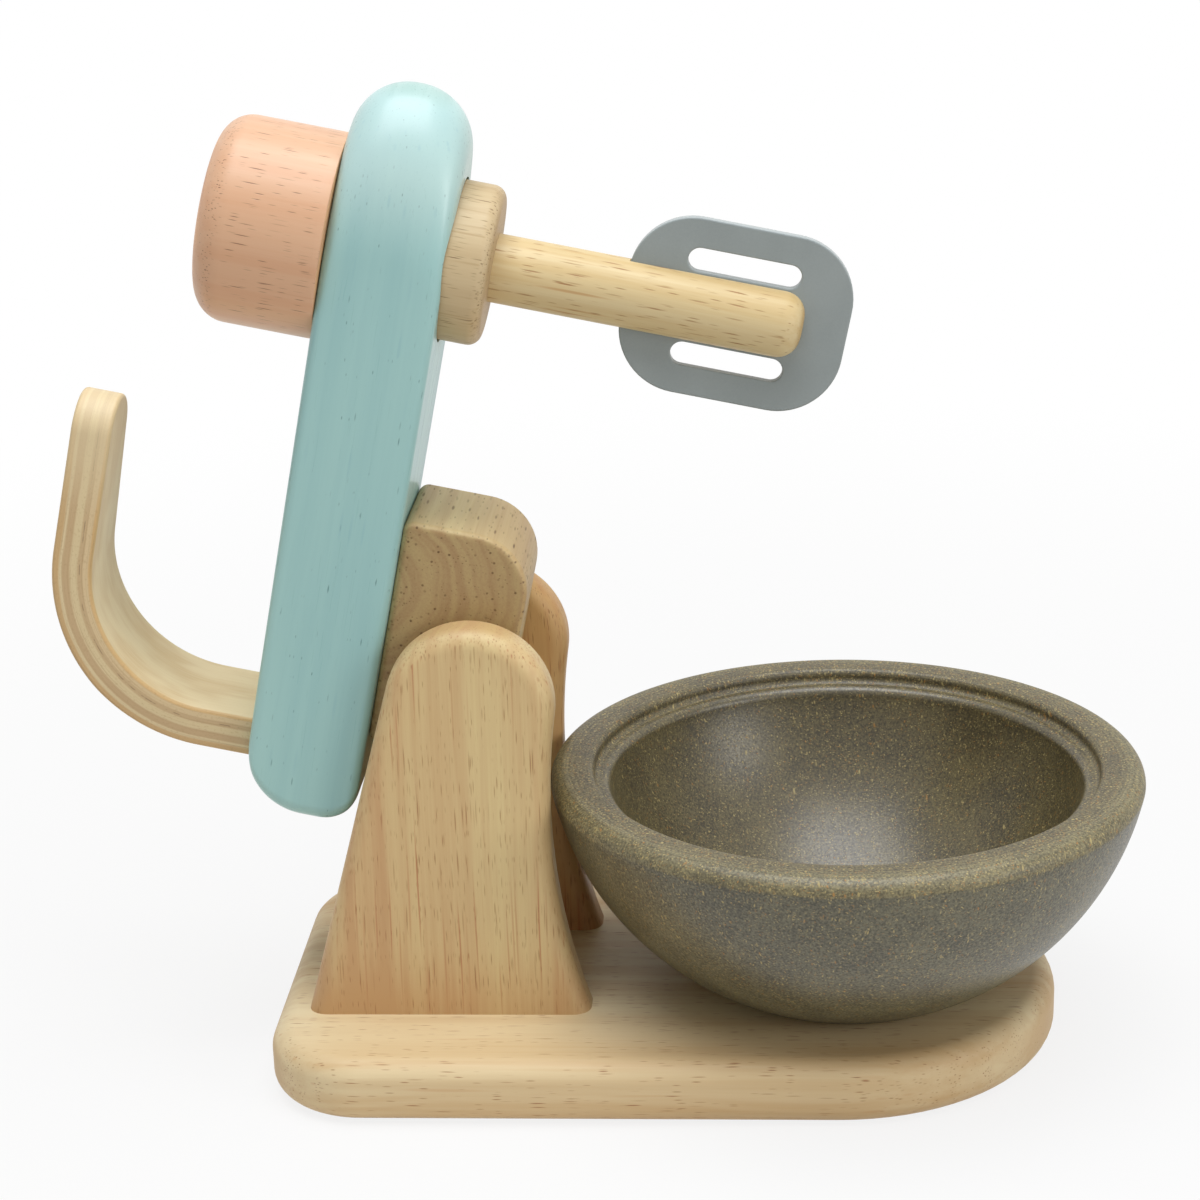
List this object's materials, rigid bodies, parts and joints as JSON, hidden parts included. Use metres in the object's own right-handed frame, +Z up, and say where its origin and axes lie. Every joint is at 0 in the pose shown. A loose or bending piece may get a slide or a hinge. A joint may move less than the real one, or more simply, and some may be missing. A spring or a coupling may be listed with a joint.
{
  "type": "toy stand mixer",
  "caption": "Wooden toy stand mixer: rounded base with shaped posts, tilting head with a turning knob and slotted beater, bent plywood lift handle and a loose bowl.",
  "frame": {"origin": "middle of the base board's underside", "axes": "+X towards the bowl and the base's round end, +Y to the left post, +Z up"},
  "size_m": [0.244, 0.135, 0.2214],
  "materials": {
    "base_wood": "clear matt varnish on pale rubberwood",
    "post_wood": "clear matt varnish on pale rubberwood",
    "block_wood": "clear matt varnish, end grain on its sides",
    "dowel_wood": "bare beech",
    "mint_wood": "mint stain under matt varnish",
    "peach_wood": "peach stain under matt varnish",
    "shaft_wood": "clear matt varnish on pale rubberwood",
    "plate_grey": "blue-grey satin paint on thin board",
    "plywood": "bent plywood, sanded edges, matt varnish",
    "bowl_fibre": "pressed and turned wood fibre, satin",
    "screw_steel": "zinc-plated"
  },
  "bodies": {
    "base": {"base_board": "base_wood", "right_post": "post_wood", "left_post": "post_wood", "post_dowels": "dowel_wood", "post_screws": "screw_steel", "pivot_pin": "dowel_wood", "stop_dowel": "dowel_wood"},
    "head": {"head_board": "mint_wood", "pivot_block": "block_wood", "block_dowels": "dowel_wood", "lift_handle": "plywood"},
    "beater": {"knob": "peach_wood", "beater_shaft": "shaft_wood", "shaft_collar": "shaft_wood", "beater_plate": "plate_grey"},
    "bowl": {"bowl": "bowl_fibre"}
  },
  "joints": [
    {"name": "head_tilt", "type": "hinge", "parent": "base", "child": "head", "pos_m": [-0.042, 0, 0.0882], "axis": [0, 1, 0], "range_deg": [0, 78]},
    {"name": "beater_spin", "type": "hinge", "parent": "head", "child": "beater", "pos_m": [-0.02279, 0, 0.17858], "axis": [0.9781, 0, -0.2079], "continuous": true},
    {"name": "bowl_lift", "type": "slide", "parent": "base", "child": "bowl", "axis": [0.866, 0, 0.5], "range_m": [0, 0.14]}
  ]
}
